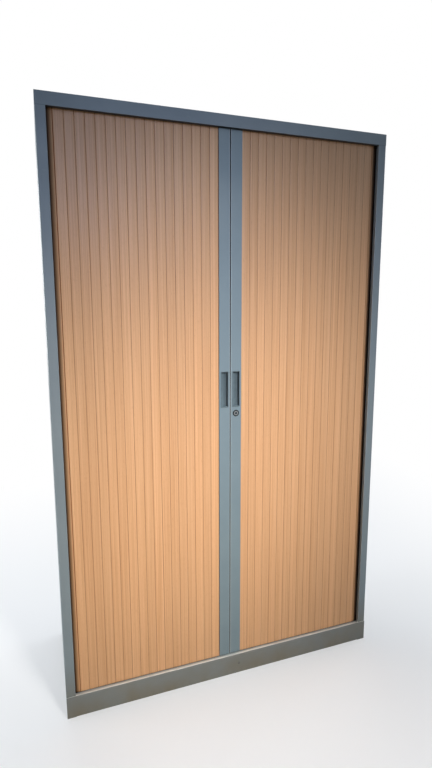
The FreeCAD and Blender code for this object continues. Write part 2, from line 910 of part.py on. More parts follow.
def foot_bracket():
    """Corner bracket on the base pan's side flange, with a tapped hole for the foot's stud."""
    half = bracket_size / 2
    flange_face = side_inner - sheet
    top = bracket_level + bracket_sheet
    outline = [
        Vector(foot_x - half, foot_y - half, bracket_level),
        Vector(flange_face, foot_y - half, bracket_level),
        Vector(flange_face, foot_y - half, top + bracket_upstand),
    ]
    bracket = folded_sheet(outline, Vector(0, -bracket_size, 0), bracket_sheet)
    bracket.translate(Vector(0, bracket_size, 0))
    hole = Part.makeCylinder(foot_stud_radius + foot_thread_play, 3 * bracket_sheet,
                             Vector(foot_x, foot_y, bracket_level - bracket_sheet))
    return bracket.cut(hole)


rack_front_y = front_corner_y + rack_front_inset
rack_rear_y = inner_back_y - rack_rear_inset - rack_width

right_side = right_side_panel()
right_liner_wall = right_liner()
right_back = right_back_panel()
right_front_rack = right_rack(rack_front_y)
right_rear_rack = right_rack(rack_rear_y)
right_slats = right_curtain_slats()
right_shoes = right_post_shoes()

clips = []
for number in range(1, shelf_count + 1):
    for rack_y in (rack_front_y, rack_rear_y):
        clip = right_shelf_clip(number, rack_y)
        clips += [clip, mirrored(clip)]

nodes = {
    "left_side_panel": mirrored(right_side),
    "right_side_panel": right_side,
    "top_cap": top_cap(),
    "plinth_front": plinth_front(),
    "left_back_panel": mirrored(right_back),
    "right_back_panel": right_back,
    "back_stiffener": back_stiffener(),
    "top_stiffener": top_stiffener(),
    "base_pan": base_pan(),
    "head_pan": head_pan(),
    "floor_tray": tray(opening_bottom, pan_level),
    "ceiling_tray": tray(opening_top, head_level),
    "left_liner": mirrored(right_liner_wall),
    "right_liner": right_liner_wall,
    "inner_back_panel": inner_back_panel(),
    "left_front_rack": mirrored(right_front_rack),
    "left_rear_rack": mirrored(right_rear_rack),
    "right_front_rack": right_front_rack,
    "right_rear_rack": right_rear_rack,
    "shelf_clips": group(clips),
    "bottom_front_rail": front_rail(pan_level, True),
    "bottom_side_rails": side_rails(pan_level, True),
    "bottom_rear_rails": rear_rails(pan_level, True),
    "bottom_track_bends": track_bends(pan_level, True),
    "top_front_rail": front_rail(opening_top, False),
    "top_side_rails": side_rails(opening_top, False),
    "top_rear_rails": rear_rails(opening_top, False),
    "top_track_bends": track_bends(opening_top, False),
    "levelling_feet": four_corners(levelling_foot()),
    "foot_brackets": four_corners(foot_bracket()),
    "left_post": left_post(),
    "left_post_shoes": mirrored(right_shoes),
    "left_finger_pull": finger_pull(-fitting_x),
    "left_curtain_slats": mirrored(right_slats),
    "lock_keeper": lock_keeper(),
    "right_post": right_post(),
    "right_post_shoes": right_shoes,
    "right_finger_pull": finger_pull(fitting_x),
    "right_curtain_slats": right_slats,
    "lock_housing": lock_housing(),
    "lock_plug": lock_plug(),
    "lock_cam": lock_cam(),
}
for number in range(1, shelf_count + 1):
    nodes[f"shelf_{number}"] = shelf(number)

os.makedirs("parts", exist_ok=True)
for name, shape in nodes.items():
    shape.exportStep(f"parts/{name}.step")
    print(f"{name}: {len(shape.Solids)} solids, {shape.Volume / 1000:.1f} cm3, valid {shape.isValid()}")
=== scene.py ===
import json
import math
import random

import bmesh
import bpy
from mathutils import Matrix, Vector


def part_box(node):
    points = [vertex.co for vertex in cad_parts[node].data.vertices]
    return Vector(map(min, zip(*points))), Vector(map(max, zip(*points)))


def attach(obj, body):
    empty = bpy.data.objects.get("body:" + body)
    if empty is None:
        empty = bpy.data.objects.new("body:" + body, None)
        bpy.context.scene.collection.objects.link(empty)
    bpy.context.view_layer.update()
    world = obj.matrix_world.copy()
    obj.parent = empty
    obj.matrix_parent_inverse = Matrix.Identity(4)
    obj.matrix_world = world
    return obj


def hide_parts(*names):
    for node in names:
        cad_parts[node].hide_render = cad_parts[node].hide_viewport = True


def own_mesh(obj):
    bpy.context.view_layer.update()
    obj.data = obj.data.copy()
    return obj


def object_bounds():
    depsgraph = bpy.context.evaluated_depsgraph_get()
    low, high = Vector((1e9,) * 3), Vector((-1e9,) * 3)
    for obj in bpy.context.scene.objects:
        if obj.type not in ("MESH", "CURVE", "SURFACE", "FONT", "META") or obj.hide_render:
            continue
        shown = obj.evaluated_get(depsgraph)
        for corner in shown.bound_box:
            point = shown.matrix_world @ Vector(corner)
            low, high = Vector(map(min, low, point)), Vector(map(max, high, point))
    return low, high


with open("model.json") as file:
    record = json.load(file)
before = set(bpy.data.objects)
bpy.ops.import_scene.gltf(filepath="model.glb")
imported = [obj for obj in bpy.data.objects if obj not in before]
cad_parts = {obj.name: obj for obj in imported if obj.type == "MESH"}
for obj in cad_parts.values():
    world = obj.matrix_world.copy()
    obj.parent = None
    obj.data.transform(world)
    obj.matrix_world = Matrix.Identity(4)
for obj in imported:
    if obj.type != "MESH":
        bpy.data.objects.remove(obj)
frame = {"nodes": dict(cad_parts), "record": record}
cad_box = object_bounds()
nodes = frame["nodes"]
slot_of = {part["node"]: part["material_slot"] for part in frame["record"]["subparts"]}


# Carcass of folded sheet steel: sides with their front stiles, cap, plinth, back, pans, racks and shelves.
# The sheets are spot welded and then sprayed with one silver-grey powder coat, which has a fine orange-peel
# skin, clouds a little in colour and is rubbed in places. Dust and painted shade darken it towards the floor,
# dust settles on the top, and the plinth's ledge is lightened by dust and a painted highlight. A painted
# highlight also runs along the stiles' inner folds, and painted shade lies under the head rail and round the
# plinth's hole.

def srgb(red, green, blue):
    """Linear colour from the 0 to 255 values that a screen shows."""
    colour = []
    for value in (red, green, blue):
        share = value / 255
        colour.append(share / 12.92 if share < 0.04045 else ((share + 0.055) / 1.055) ** 2.4)
    return (*colour, 1)


def add_node(tree, kind, inputs=None, **settings):
    """New node whose inputs are set to values or linked to other sockets."""
    node = tree.nodes.new(kind)
    for name, value in settings.items():
        setattr(node, name, value)
    for name, value in (inputs or {}).items():
        if isinstance(value, bpy.types.NodeSocket):
            tree.links.new(value, node.inputs[name])
        else:
            node.inputs[name].default_value = value
    return node


def math_node(tree, operation, first, second=0.0):
    return add_node(tree, "ShaderNodeMath", {0: first, 1: second}, operation=operation).outputs[0]


def product(tree, first, *others):
    """Several masks multiplied together."""
    for other in others:
        first = math_node(tree, "MULTIPLY", first, other)
    return first


def vector_node(tree, operation, first, second=(0, 0, 0)):
    return add_node(tree, "ShaderNodeVectorMath", {0: first, 1: second}, operation=operation).outputs


def axes_of(tree, vector):
    """X, Y and Z of a vector socket."""
    return add_node(tree, "ShaderNodeSeparateXYZ", {"Vector": vector}).outputs


def noise_node(tree, place, scale, detail, roughness=0.5):
    inputs = {"Vector": place, "Scale": scale, "Detail": detail, "Roughness": roughness}
    return add_node(tree, "ShaderNodeTexNoise", inputs).outputs[0]


def ramp_node(tree, value, span, shares=(0.0, 1.0)):
    """Goes from the first share to the second as the value crosses the span, and is held beyond it."""
    inputs = {"Value": value, "From Min": span[0], "From Max": span[1],
              "To Min": shares[0], "To Max": shares[1]}
    return add_node(tree, "ShaderNodeMapRange", inputs).outputs["Result"]


def mix_colour(tree, share, first, second):
    """Goes from the first colour to the second as the share goes from 0 to 1."""
    inputs = {"Factor": share, 6: first, 7: second}
    return add_node(tree, "ShaderNodeMix", inputs, data_type="RGBA").outputs[2]


def new_effect(name, inputs, outputs):
    """Empty shader node group with named sockets: its tree, its inputs and its outputs."""
    tree = bpy.data.node_groups.new(name, "ShaderNodeTree")
    for label, kind in inputs.items():
        tree.interface.new_socket(label, in_out="INPUT", socket_type=f"NodeSocket{kind}")
    for label, kind in outputs.items():
        tree.interface.new_socket(label, in_out="OUTPUT", socket_type=f"NodeSocket{kind}")
    return tree, tree.nodes.new("NodeGroupInput").outputs, tree.nodes.new("NodeGroupOutput").inputs


def use_effect(tree, effect, **inputs):
    """Outputs of an effect group that is placed in a material with its own values."""
    return add_node(tree, "ShaderNodeGroup", inputs, node_tree=effect).outputs


def stretched(tree, sockets):
    """Place scaled by Across in plan and by Along in height, so that a noise on it runs in streaks."""
    across = sockets["Across"]
    scale = add_node(tree, "ShaderNodeCombineXYZ", {"X": across, "Y": across, "Z": sockets["Along"]})
    return vector_node(tree, "MULTIPLY", sockets["Place"], scale.outputs[0])["Vector"]


def new_finish(name, **constants):
    """Material with plain values on its shader: itself, its tree, the shader's inputs, object coordinates."""
    material = bpy.data.materials.new(name)
    material.use_nodes = True
    tree = material.node_tree
    shader = tree.nodes["Principled BSDF"]
    for label, value in constants.items():
        shader.inputs[label.replace("_", " ")].default_value = value
    return material, tree, shader.inputs, add_node(tree, "ShaderNodeTexCoord").outputs["Object"]


def link_bump(tree, shader, height, depth):
    """Surface relief from a height socket, with its depth in metres."""
    bump = add_node(tree, "ShaderNodeBump", {"Height": height, "Distance": depth})
    tree.links.new(bump.outputs["Normal"], shader["Normal"])


cloud_span = (0.32, 0.68)
cloud_effect, given, made = new_effect(
    "cloudy colour",
    {"Place": "Vector", "Scale": "Float", "Light": "Color", "Deep": "Color"},
    {"Colour": "Color"})
cloud = noise_node(cloud_effect, given["Place"], given["Scale"], detail=5.0, roughness=0.6)
cloud_share = ramp_node(cloud_effect, cloud, cloud_span)
cloud_effect.links.new(mix_colour(cloud_effect, cloud_share, given["Light"], given["Deep"]), made["Colour"])


def cloudy(tree, place, scale, light, deep):
    """Colour that clouds between a light and a deep one."""
    return use_effect(tree, cloud_effect, Place=place, Scale=scale, Light=light, Deep=deep)["Colour"]


peel_effect, given, made = new_effect(
    "orange peel skin",
    {"Place": "Vector", "Scale": "Float"},
    {"Height": "Float", "Gloss": "Float"})
peel_effect.links.new(noise_node(peel_effect, given["Place"], given["Scale"], detail=2.0), made["Height"])
peel_effect.links.new(noise_node(peel_effect, given["Place"], scale=7.0, detail=3.0), made["Gloss"])

rub_line_span = (0.66, 0.74)
rub_patch_span = (0.5, 0.68)
rub_effect, given, made = new_effect(
    "rub marks",
    {"Place": "Vector", "Across": "Float", "Along": "Float", "Amount": "Float"},
    {"Mask": "Float"})
rub_lines = noise_node(rub_effect, stretched(rub_effect, given), scale=1.0, detail=4.0)
rub_patches = noise_node(rub_effect, given["Place"], scale=2.3, detail=2.0)
rub_mask = product(rub_effect, ramp_node(rub_effect, rub_lines, rub_line_span),
                   ramp_node(rub_effect, rub_patches, rub_patch_span), given["Amount"])
rub_effect.links.new(rub_mask, made["Mask"])

gloss_span = (0.3, 0.7)


def give_skin(tree, shader, place, scale, roughness, depth, lines=0.0):
    """Orange-peel relief, with lines added to it and its depth in metres, under a patchy roughness."""
    skin = use_effect(tree, peel_effect, Place=place, Scale=scale)
    tree.links.new(ramp_node(tree, skin["Gloss"], gloss_span, roughness), shader["Roughness"])
    link_bump(tree, shader, math_node(tree, "ADD", skin["Height"], lines), depth)


paint_light = srgb(133, 147, 154)
paint_deep = srgb(126, 140, 148)
rubbed_and_highlight_paint = srgb(160, 173, 177)
edge_blur = 0.001
darkening_depth = 0.9
silver_paint, tree, shader, place = new_finish("silver_paint", Metallic=0.06)
where = axes_of(tree, place)
from_middle = math_node(tree, "ABSOLUTE", where["X"])
facing = axes_of(tree, add_node(tree, "ShaderNodeNewGeometry").outputs["Normal"])["Z"]
colour = cloudy(tree, place, scale=3.5, light=paint_light, deep=paint_deep)
rubs = use_effect(tree, rub_effect, Place=place, Across=26.0, Along=160.0, Amount=0.35)["Mask"]
colour = mix_colour(tree, rubs, colour, rubbed_and_highlight_paint)

# Dust and painted shade: towards the floor the paint turns darker and warmer, most on the plinth's face.
floor_dust_and_shade = srgb(120, 109, 85)
low_darkening_reach = 0.20
plinth_back = -0.20
plinth_face = -0.2145
low_darkening_behind = 0.4
low_darkening_span = (0.3, 0.75)
low_darkening_shares = (0.5, 0.9)
dust_cloud = noise_node(tree, place, scale=11.0, detail=6.0)
low_dust_and_shade = product(tree, ramp_node(tree, where["Z"], (0.0, low_darkening_reach), (1.0, 0.0)),
               ramp_node(tree, where["Y"], (plinth_back, plinth_face), (low_darkening_behind, 1.0)),
               ramp_node(tree, dust_cloud, low_darkening_span, low_darkening_shares))
colour = mix_colour(tree, low_dust_and_shade, colour, floor_dust_and_shade)

# Settled dust on the top. On the up-facing ledge the same pale colour is a painted highlight, strongest at
# its front edge.
settled_dust_and_highlight = srgb(230, 231, 222)
faces_up_span = (0.6, 0.95)
ledge_back = -0.204
ledge_front = -0.212
ledge_inside_share = 0.1
top_plane = 1.965
top_step = 0.005
settled_on_top = 0.3
dust_and_highlight_span = (0.25, 0.75)
dust_and_highlight_shares = (0.82, 1.0)
ledge_highlight = ramp_node(tree, where["Y"], (ledge_back, ledge_front), (ledge_inside_share, 1.0))
on_top = ramp_node(tree, where["Z"], (top_plane, top_plane + top_step), (0.0, settled_on_top))
dust_and_highlight = product(tree, ramp_node(tree, facing, faces_up_span), math_node(tree, "MAXIMUM", ledge_highlight, on_top),
                  ramp_node(tree, dust_cloud, dust_and_highlight_span, dust_and_highlight_shares))
colour = mix_colour(tree, dust_and_highlight, colour, settled_dust_and_highlight)

opening_half = 0.570
fold_highlight_width = 0.0022
fold_plane = -0.2105
fold_highlight_depth = 0.7
plinth_top = 0.078
cap_joint = 1.942
# Painted highlight: a pale line along each stile's inner fold, between the plinth and the cap joint. The same
# pale colour is real rubbed wear in the rub marks.
from_fold = math_node(tree, "ABSOLUTE", math_node(tree, "SUBTRACT", from_middle, opening_half))
fold_highlight = product(tree, ramp_node(tree, from_fold, (0.0, fold_highlight_width), (fold_highlight_depth, 0.0)),
                    ramp_node(tree, where["Y"], (fold_plane, fold_plane - edge_blur)),
                    ramp_node(tree, where["Z"], (cap_joint - edge_blur, cap_joint), (1.0, 0.0)),
                    ramp_node(tree, where["Z"], (plinth_top, plinth_top + edge_blur)))
colour = mix_colour(tree, fold_highlight, colour, rubbed_and_highlight_paint)

joint_shadow = srgb(48, 55, 60)
joint_width = 0.0007
from_joint = math_node(tree, "ABSOLUTE", math_node(tree, "SUBTRACT", where["Z"], cap_joint))
joint_line = product(tree, ramp_node(tree, from_joint, (0.0, joint_width), (darkening_depth, 0.0)),
                     ramp_node(tree, from_middle, (opening_half - edge_blur / 2, opening_half)))
colour = mix_colour(tree, joint_line, colour, joint_shadow)

# Painted shade under the head rail: down-facing faces just below the cap joint turn near black.
rail_shade = srgb(26, 28, 31)
faces_down_span = (-0.6, -0.95)
rail_reach = 0.006
under_rail_shade = product(tree, ramp_node(tree, facing, faces_down_span),
                     ramp_node(tree, from_joint, (rail_reach, rail_reach + edge_blur), (darkening_depth, 0.0)))
colour = mix_colour(tree, under_rail_shade, colour, rail_shade)

# Painted shade: a dark ring round the plinth's hole.
hole_shade = srgb(38, 36, 32)
plinth_hole = (0.032, -0.215, 0.040)
hole_radius = 0.0022
hole_shade_reach = 0.0024
from_hole = vector_node(tree, "DISTANCE", place, plinth_hole)["Value"]
hole_shade_share = ramp_node(tree, from_hole, (hole_radius, hole_radius + hole_shade_reach), (darkening_depth, 0.0))
tree.links.new(mix_colour(tree, hole_shade_share, colour, hole_shade), shader["Base Color"])
give_skin(tree, shader, place, scale=620.0, roughness=(0.46, 0.54), depth=0.00025)


def finish_nodes(slot, material):
    """Gives a material to every model node that the record puts in a slot."""
    for name, node in nodes.items():
        if slot_of[name] == slot:
            node.data.materials.clear()
            node.data.materials.append(material)


finish_nodes("silver_paint", silver_paint)


# Pop rivets that hold the two back sheets to the side flanges and to the stiffener behind the seam.
# Each is a low zinc-plated dome with the broken-off mandrel as a small dimple in its middle.
# The feet and their brackets, the shelf clips, the keeper and the lock's hook have the same plating.

def pick(piece, kind, wanted):
    """Selects in edit mode only the faces or the edges that pass a test."""
    bpy.ops.mesh.select_mode(type=kind)
    bpy.ops.mesh.select_all(action="DESELECT")
    mesh = bmesh.from_edit_mesh(piece.data)
    for item in mesh.faces if kind == "FACE" else mesh.edges:
        if wanted(item):
            item.select_set(True)
    bmesh.update_edit_mesh(piece.data)


def named(piece, name):
    """Gives a piece and its mesh their name."""
    piece.name = name
    piece.data.name = name
    return piece


def joined(name, copies):
    """One piece made of several mesh objects."""
    bpy.ops.object.select_all(action="DESELECT")
    for copy in copies:
        copy.select_set(True)
    bpy.context.view_layer.objects.active = copies[0]
    bpy.ops.object.join()
    return named(bpy.context.object, name)


def copy_of(piece, move):
    """Copy with its own mesh, moved within the mesh by a matrix."""
    copy = piece.copy()
    copy.data = piece.data.copy()
    copy.data.transform(move)
    bpy.context.scene.collection.objects.link(copy)
    return copy


def give_finish(piece, material, body):
    """Material, slot and carrying body of a new piece."""
    piece.data.materials.clear()
    piece.data.materials.append(material)
    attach(piece, body)


zinc_light = srgb(190, 192, 190)
zinc_deep = srgb(160, 163, 164)
zinc_roughness = (0.28, 0.46)
zinc_steel, tree, shader, place = new_finish("zinc_steel", Metallic=0.9)
spangle = add_node(tree, "ShaderNodeTexVoronoi", {"Vector": place, "Scale": 170.0}).outputs["Color"]
spangle_share = axes_of(tree, spangle)["X"]
tree.links.new(mix_colour(tree, spangle_share, zinc_light, zinc_deep), shader["Base Color"])
tree.links.new(ramp_node(tree, spangle_share, (0.0, 1.0), zinc_roughness), shader["Roughness"])
finish_nodes("zinc_steel", zinc_steel)

rivet_radius = 0.0045
rivet_height = 0.0012
rivet_sides = 20
rivet_round = rivet_height * 0.8
rivet_top_facing = 0.95
dimple_inset = rivet_radius * 0.4
dimple_wall = rivet_radius * 0.08
dimple_depth = rivet_height * 0.4
rivet_smooth_angle = math.radians(35)
rivet_rows = 8
rivet_row_inset = 0.06
flange_line = 0.5925
stiffener_line = 0.012
back_low, back_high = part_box("right_back_panel")
rivet_middle = back_high.y + rivet_height / 2
bpy.ops.object.select_all(action="DESELECT")
bpy.ops.mesh.primitive_cylinder_add(vertices=rivet_sides, radius=rivet_radius, depth=rivet_height,
                                    rotation=(-math.pi / 2, 0, 0), location=(0, rivet_middle, 0))
rivet = bpy.context.object
bpy.ops.object.transform_apply(location=True, rotation=True, scale=True)
bpy.ops.object.mode_set(mode="EDIT")
pick(rivet, "EDGE", lambda edge: all(vertex.co.y > rivet_middle for vertex in edge.verts))
bpy.ops.mesh.bevel(offset=rivet_round, segments=4, profile=0.6)
pick(rivet, "FACE", lambda face: face.normal.y > rivet_top_facing)
bpy.ops.mesh.inset(thickness=dimple_inset)
bpy.ops.mesh.inset(thickness=dimple_wall)
bpy.ops.transform.translate(value=(0, -dimple_depth, 0))
bpy.ops.object.mode_set(mode="OBJECT")
bpy.ops.object.shade_smooth_by_angle(angle=rivet_smooth_angle)
rivets = []
for line in (-flange_line, -stiffener_line, stiffener_line, flange_line):
    for row in range(rivet_rows):
        share = row / (rivet_rows - 1)
        level = back_low.z + rivet_row_inset + share * (back_high.z - back_low.z - 2 * rivet_row_inset)
        rivets.append(copy_of(rivet, Matrix.Translation((line, 0, level))))
bpy.data.objects.remove(rivet)
back_rivets = joined("back_rivets", rivets)
give_finish(back_rivets, zinc_steel, "carcass")


# Curtain tracks and post shoes, moulded in black plastic with a fine spark-eroded texture.
# The tracks are clipped to the base pan and the head pan, and the shoes close the ends of the posts.

plastic_black = srgb(32, 32, 34)
plastic_worn = srgb(44, 44, 45)
track_plastic, tree, shader, place = new_finish("track_plastic")
colour = cloudy(tree, place, scale=40.0, light=plastic_black, deep=plastic_worn)
tree.links.new(colour, shader["Base Color"])
give_skin(tree, shader, place, scale=1800.0, roughness=(0.42, 0.6), depth=0.00008)
finish_nodes("track_plastic", track_plastic)


# Curtains of beech-effect plastic slats. Each slat is one extrusion: a slightly crowned face, a bead along
# one edge and a socket along the other, so that neighbours hinge on each other round the corners.
# A printed foil with fine straight grain and short dark flecks covers the face, and no two slats match.

grain_effect, given, made = new_effect(
    "wood grain",
    {"Place": "Vector", "Across": "Float", "Along": "Float", "Detail": "Float"},
    {"Value": "Float"})
grain_place = stretched(grain_effect, given)
grain = noise_node(grain_effect, grain_place, scale=1.0, detail=given["Detail"], roughness=0.55)
grain_effect.links.new(grain, made["Value"])

beech_light = srgb(232, 185, 140)
beech_deep = srgb(209, 157, 111)
beech_fleck = srgb(168, 112, 70)
slat_core = srgb(144, 83, 40)
corner_shade = srgb(36, 25, 19)
grain_shift = 31.0
grain_span = (0.36, 0.64)
band_weight = 0.35
streak_weight = 0.65
fleck_span = (0.64, 0.74)
fleck_depth = 0.4
tone_values = (0.96, 1.04)
corner_shade_span = (0.5525, 0.5680)
head_shade_span = (1.939, 1.946)
shade_shares = (0.0, 0.9)
foil_sheen = (0.34, 0.46)
core_roughness = 0.9
foil_relief = 0.00006
beech_foil, tree, shader, place = new_finish("beech_slats")
tone = add_node(tree, "ShaderNodeAttribute", attribute_name="slat_tone").outputs["Fac"]
tone_drop = math_node(tree, "MULTIPLY", tone, grain_shift)
tone_move = add_node(tree, "ShaderNodeCombineXYZ", {"X": tone, "Y": tone, "Z": tone_drop}).outputs[0]
slat_place = vector_node(tree, "ADD", place, tone_move)["Vector"]
bands = use_effect(tree, grain_effect, Place=slat_place, Across=190.0, Along=0.6, Detail=2.0)["Value"]
streaks = use_effect(tree, grain_effect, Place=slat_place, Across=620.0, Along=2.2, Detail=3.0)["Value"]
flecks = use_effect(tree, grain_effect, Place=slat_place, Across=1500.0, Along=62.0, Detail=1.0)["Value"]
grain_share = math_node(tree, "ADD", ramp_node(tree, bands, grain_span, (0.0, band_weight)),
                        ramp_node(tree, streaks, grain_span, (0.0, streak_weight)))
colour = mix_colour(tree, grain_share, beech_light, beech_deep)
fleck_share = ramp_node(tree, flecks, fleck_span, (0.0, fleck_depth))
colour = mix_colour(tree, fleck_share, colour, beech_fleck)
slat_value = ramp_node(tree, tone, (0.0, 1.0), tone_values)
colour = add_node(tree, "ShaderNodeHueSaturation", {"Color": colour, "Value": slat_value}).outputs["Color"]
covered = add_node(tree, "ShaderNodeAttribute", attribute_name="foil_cover").outputs["Fac"]
colour = mix_colour(tree, covered, slat_core, colour)
where = axes_of(tree, place)
from_middle = math_node(tree, "ABSOLUTE", where["X"])
# Painted shade: the slats darken where they turn into the corners at the stiles and just under the head rail.
painted_shade = math_node(tree, "MAXIMUM", ramp_node(tree, from_middle, corner_shade_span, shade_shares),
                  ramp_node(tree, where["Z"], head_shade_span, shade_shares))
tree.links.new(mix_colour(tree, painted_shade, colour, corner_shade), shader["Base Color"])
foil_roughness = ramp_node(tree, streaks, gloss_span, foil_sheen)
tree.links.new(ramp_node(tree, covered, (0.0, 1.0), (core_roughness, foil_roughness)), shader["Roughness"])
link_bump(tree, shader, math_node(tree, "SUBTRACT", streaks, fleck_share), foil_relief)

slat_pitch = 0.030
slat_gap = 0.0006
slat_plate = 0.0014
slat_crown = 0.0004
crown_steps = 8
edge_radius = 0.0008
edge_turn = 80
edge_steps = 3
hinge_depth = 0.0042
bead_radius = 0.0013
arm_length = 0.0033
arm_thickness = 0.0012
socket_inner = 0.0016
socket_outer = 0.0027
socket_opens_at = 104
socket_closes_at = -152
socket_lip_ends_at = -100
round_steps = 8
socket_wall_steps = 4
socket_lip_steps = 2
slat_smooth_angle = math.radians(30)


def arc_points(centre, radius, start, end, steps):
    """Plan points along an arc, with its angles in degrees."""
    points = []
    for step in range(steps + 1):
        angle = math.radians(start + (end - start) * step / steps)
        points.append((centre[0] + radius * math.cos(angle), centre[1] + radius * math.sin(angle)))
    return points


def slat_section():
    """Outline of a slat in plan about its first hinge, with the face towards -Y."""
    start = slat_gap / 2
    end = slat_pitch - slat_gap / 2
    face = -hinge_depth
    rear = face + slat_plate
    arm_root = slat_pitch - arm_length
    half_arm = arm_thickness / 2
    shoulder = face + slat_crown + edge_radius
    outline = arc_points((start + edge_radius, shoulder), edge_radius, 180, 180 + edge_turn, edge_steps)
    middle = (start + end) / 2
    half_face = middle - start - edge_radius
    for step in range(1, crown_steps):
        share = 2 * step / crown_steps - 1
        outline.append((middle + share * half_face, face + slat_crown * share ** 2))
    outline += arc_points((end - edge_radius, shoulder), edge_radius, 360 - edge_turn, 360, edge_steps)
    outline += [(end, rear), (arm_root, rear), (arm_root, -half_arm)]
    opening = 180 - math.degrees(math.asin(half_arm / bead_radius))
    outline += arc_points((slat_pitch, 0), bead_radius, -opening, opening, round_steps)
    outline += [(arm_root - arm_thickness, half_arm), (arm_root - arm_thickness, rear), (socket_outer, rear)]
    outline += arc_points((0, 0), socket_outer, 0, socket_opens_at, socket_wall_steps)
    outline += arc_points((0, 0), socket_inner, socket_opens_at, socket_closes_at, round_steps)
    outline += arc_points((0, 0), socket_outer, socket_closes_at, socket_lip_ends_at, socket_lip_steps)
    outline.append((start, rear))
    return outline


def extruded(outline, low, high):
    """Flat outline raised from low to high: a filled circle primitive whose points move onto the outline."""
    bpy.ops.object.select_all(action="DESELECT")
    bpy.ops.mesh.primitive_circle_add(vertices=len(outline), radius=1, fill_type="NGON", location=(0, 0, 0))
    piece = bpy.context.object
    for vertex, (x, y) in zip(piece.data.vertices, outline):
        vertex.co = (x, y, low)
    bpy.ops.object.mode_set(mode="EDIT")
    bpy.ops.mesh.select_all(action="SELECT")
    bpy.ops.mesh.extrude_region_move(TRANSFORM_OT_translate={"value": (0, 0, high - low)})
    bpy.ops.mesh.select_all(action="SELECT")
    bpy.ops.mesh.normals_make_consistent(inside=False)
    bpy.ops.object.mode_set(mode="OBJECT")
    bpy.ops.object.shade_smooth_by_angle(angle=slat_smooth_angle)
    return piece


curtain_low, curtain_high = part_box("right_curtain_slats")
slat_pattern = extruded(slat_section(), curtain_low.z, curtain_high.z)
foil_edge = slat_crown + edge_radius - hinge_depth
cover = slat_pattern.data.attributes.new("foil_cover", "FLOAT", "POINT")
for vertex, share in zip(slat_pattern.data.vertices, cover.data):
    share.value = min(1.0, max(0.0, (foil_edge - vertex.co.y) / edge_radius))

tone_seed = 7
tones = random.Random(tone_seed)


def placed_slat(hinge, following):
    """Copy of the slat from one hinge point to the next, with a tone of its own."""
    run = Vector(following) - Vector(hinge)
    turn = Matrix.Rotation(math.atan2(run.y, run.x), 4, "Z")
    slat = copy_of(slat_pattern, Matrix.Translation((*hinge, 0)) @ turn)
    shade = slat.data.attributes.new("slat_tone", "FLOAT", "POINT")
    shade.data.foreach_set("value", [tones.random()] * len(slat.data.vertices))
    return slat


def mirrored_mesh(piece):
    """Turns a piece into its mirror image across the middle of the cupboard."""
    piece.data.transform(Matrix.Scale(-1, 4, (1, 0, 0)))
    piece.data.flip_normals()


slat_count = 17
curtain_start = 0.0415
corner_radius = 0.036
hinge_line = curtain_low.y + hinge_depth
corner_x = curtain_start + slat_count * slat_pitch
side_path = corner_x + corner_radius
turn_of_chord = 2 * math.asin(slat_pitch / 2 / corner_radius)
first_bend = (corner_x + corner_radius * math.sin(turn_of_chord),
              hinge_line + corner_radius - corner_radius * math.cos(turn_of_chord))
second_bend = (side_path, first_bend[1] + math.sqrt(slat_pitch ** 2 - (side_path - first_bend[0]) ** 2))
third_bend = (side_path, second_bend[1] + slat_pitch)
tail_hinges = [(corner_x, hinge_line), first_bend, second_bend, third_bend]
flat_hinges = [(curtain_start + number * slat_pitch, hinge_line) for number in range(slat_count + 1)]
for side, joint_axis in (("right", 1), ("left", -1)):
    flat_slats = [placed_slat(*pair) for pair in zip(flat_hinges, flat_hinges[1:])]
    tail_slats = [placed_slat(*pair) for pair in zip(tail_hinges, tail_hinges[1:])]
    curtain = joined(f"{side}_curtain", flat_slats)
    tail = joined(f"{side}_curtain_tail", tail_slats)
    for piece, body in ((curtain, f"{side}_door"), (tail, "carcass")):
        if side == "left":
            mirrored_mesh(piece)
        give_finish(piece, beech_foil, body)
        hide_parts(f"{side}_curtain_slats")
    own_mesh(curtain)
bpy.data.objects.remove(slat_pattern)


# Lead posts: hollow aluminium extrusions with the same silver-grey coat, a little cooler and smoother.
# Faint die lines run along them. The meeting edges are lighter: rubbed where hands draw the doors,
# and with a painted highlight along them.

post_light = srgb(124, 143, 151)
post_deep = srgb(117, 136, 145)
# The pale meeting edges are rubbed wear and a painted highlight together.
post_edge_wear_and_highlight = srgb(178, 190, 193)
meeting_edge_span = (0.0022, 0.0046)
edge_wear_and_highlight_depth = 0.75
post_paint, tree, shader, place = new_finish("post_paint", Metallic=0.06)
colour = cloudy(tree, place, scale=5.0, light=post_light, deep=post_deep)
rubs = use_effect(tree, rub_effect, Place=place, Across=240.0, Along=22.0, Amount=0.3)["Mask"]
colour = mix_colour(tree, rubs, colour, rubbed_and_highlight_paint)
from_middle = math_node(tree, "ABSOLUTE", axes_of(tree, place)["X"])
edge_wear_and_highlight = ramp_node(tree, from_middle, meeting_edge_span, (edge_wear_and_highlight_depth, 0.0))
tree.links.new(mix_colour(tree, edge_wear_and_highlight, colour, post_edge_wear_and_highlight), shader["Base Color"])
die_lines = use_effect(tree, grain_effect, Place=place, Across=900.0, Along=0.4, Detail=1.0)["Value"]
give_skin(tree, shader, place, scale=900.0, roughness=(0.42, 0.54), depth=0.0001, lines=die_lines)
finish_nodes("post_paint", post_paint)


# Buffer strip: a black rubber strip glued along the right post's meeting wall, in front of the lock's hook.
# It stops the posts from knocking together, and shows as the dark line between them.

def start_block(name, low, high):
    """Cube primitive stretched to the box from low to high, with its place in its mesh."""
    bpy.ops.object.select_all(action="DESELECT")
    bpy.ops.mesh.primitive_cube_add(size=1, location=(Vector(low) + Vector(high)) / 2)
    piece = named(bpy.context.object, name)
    piece.scale = Vector(high) - Vector(low)
    bpy.ops.object.transform_apply(location=True, rotation=True, scale=True)
    return piece


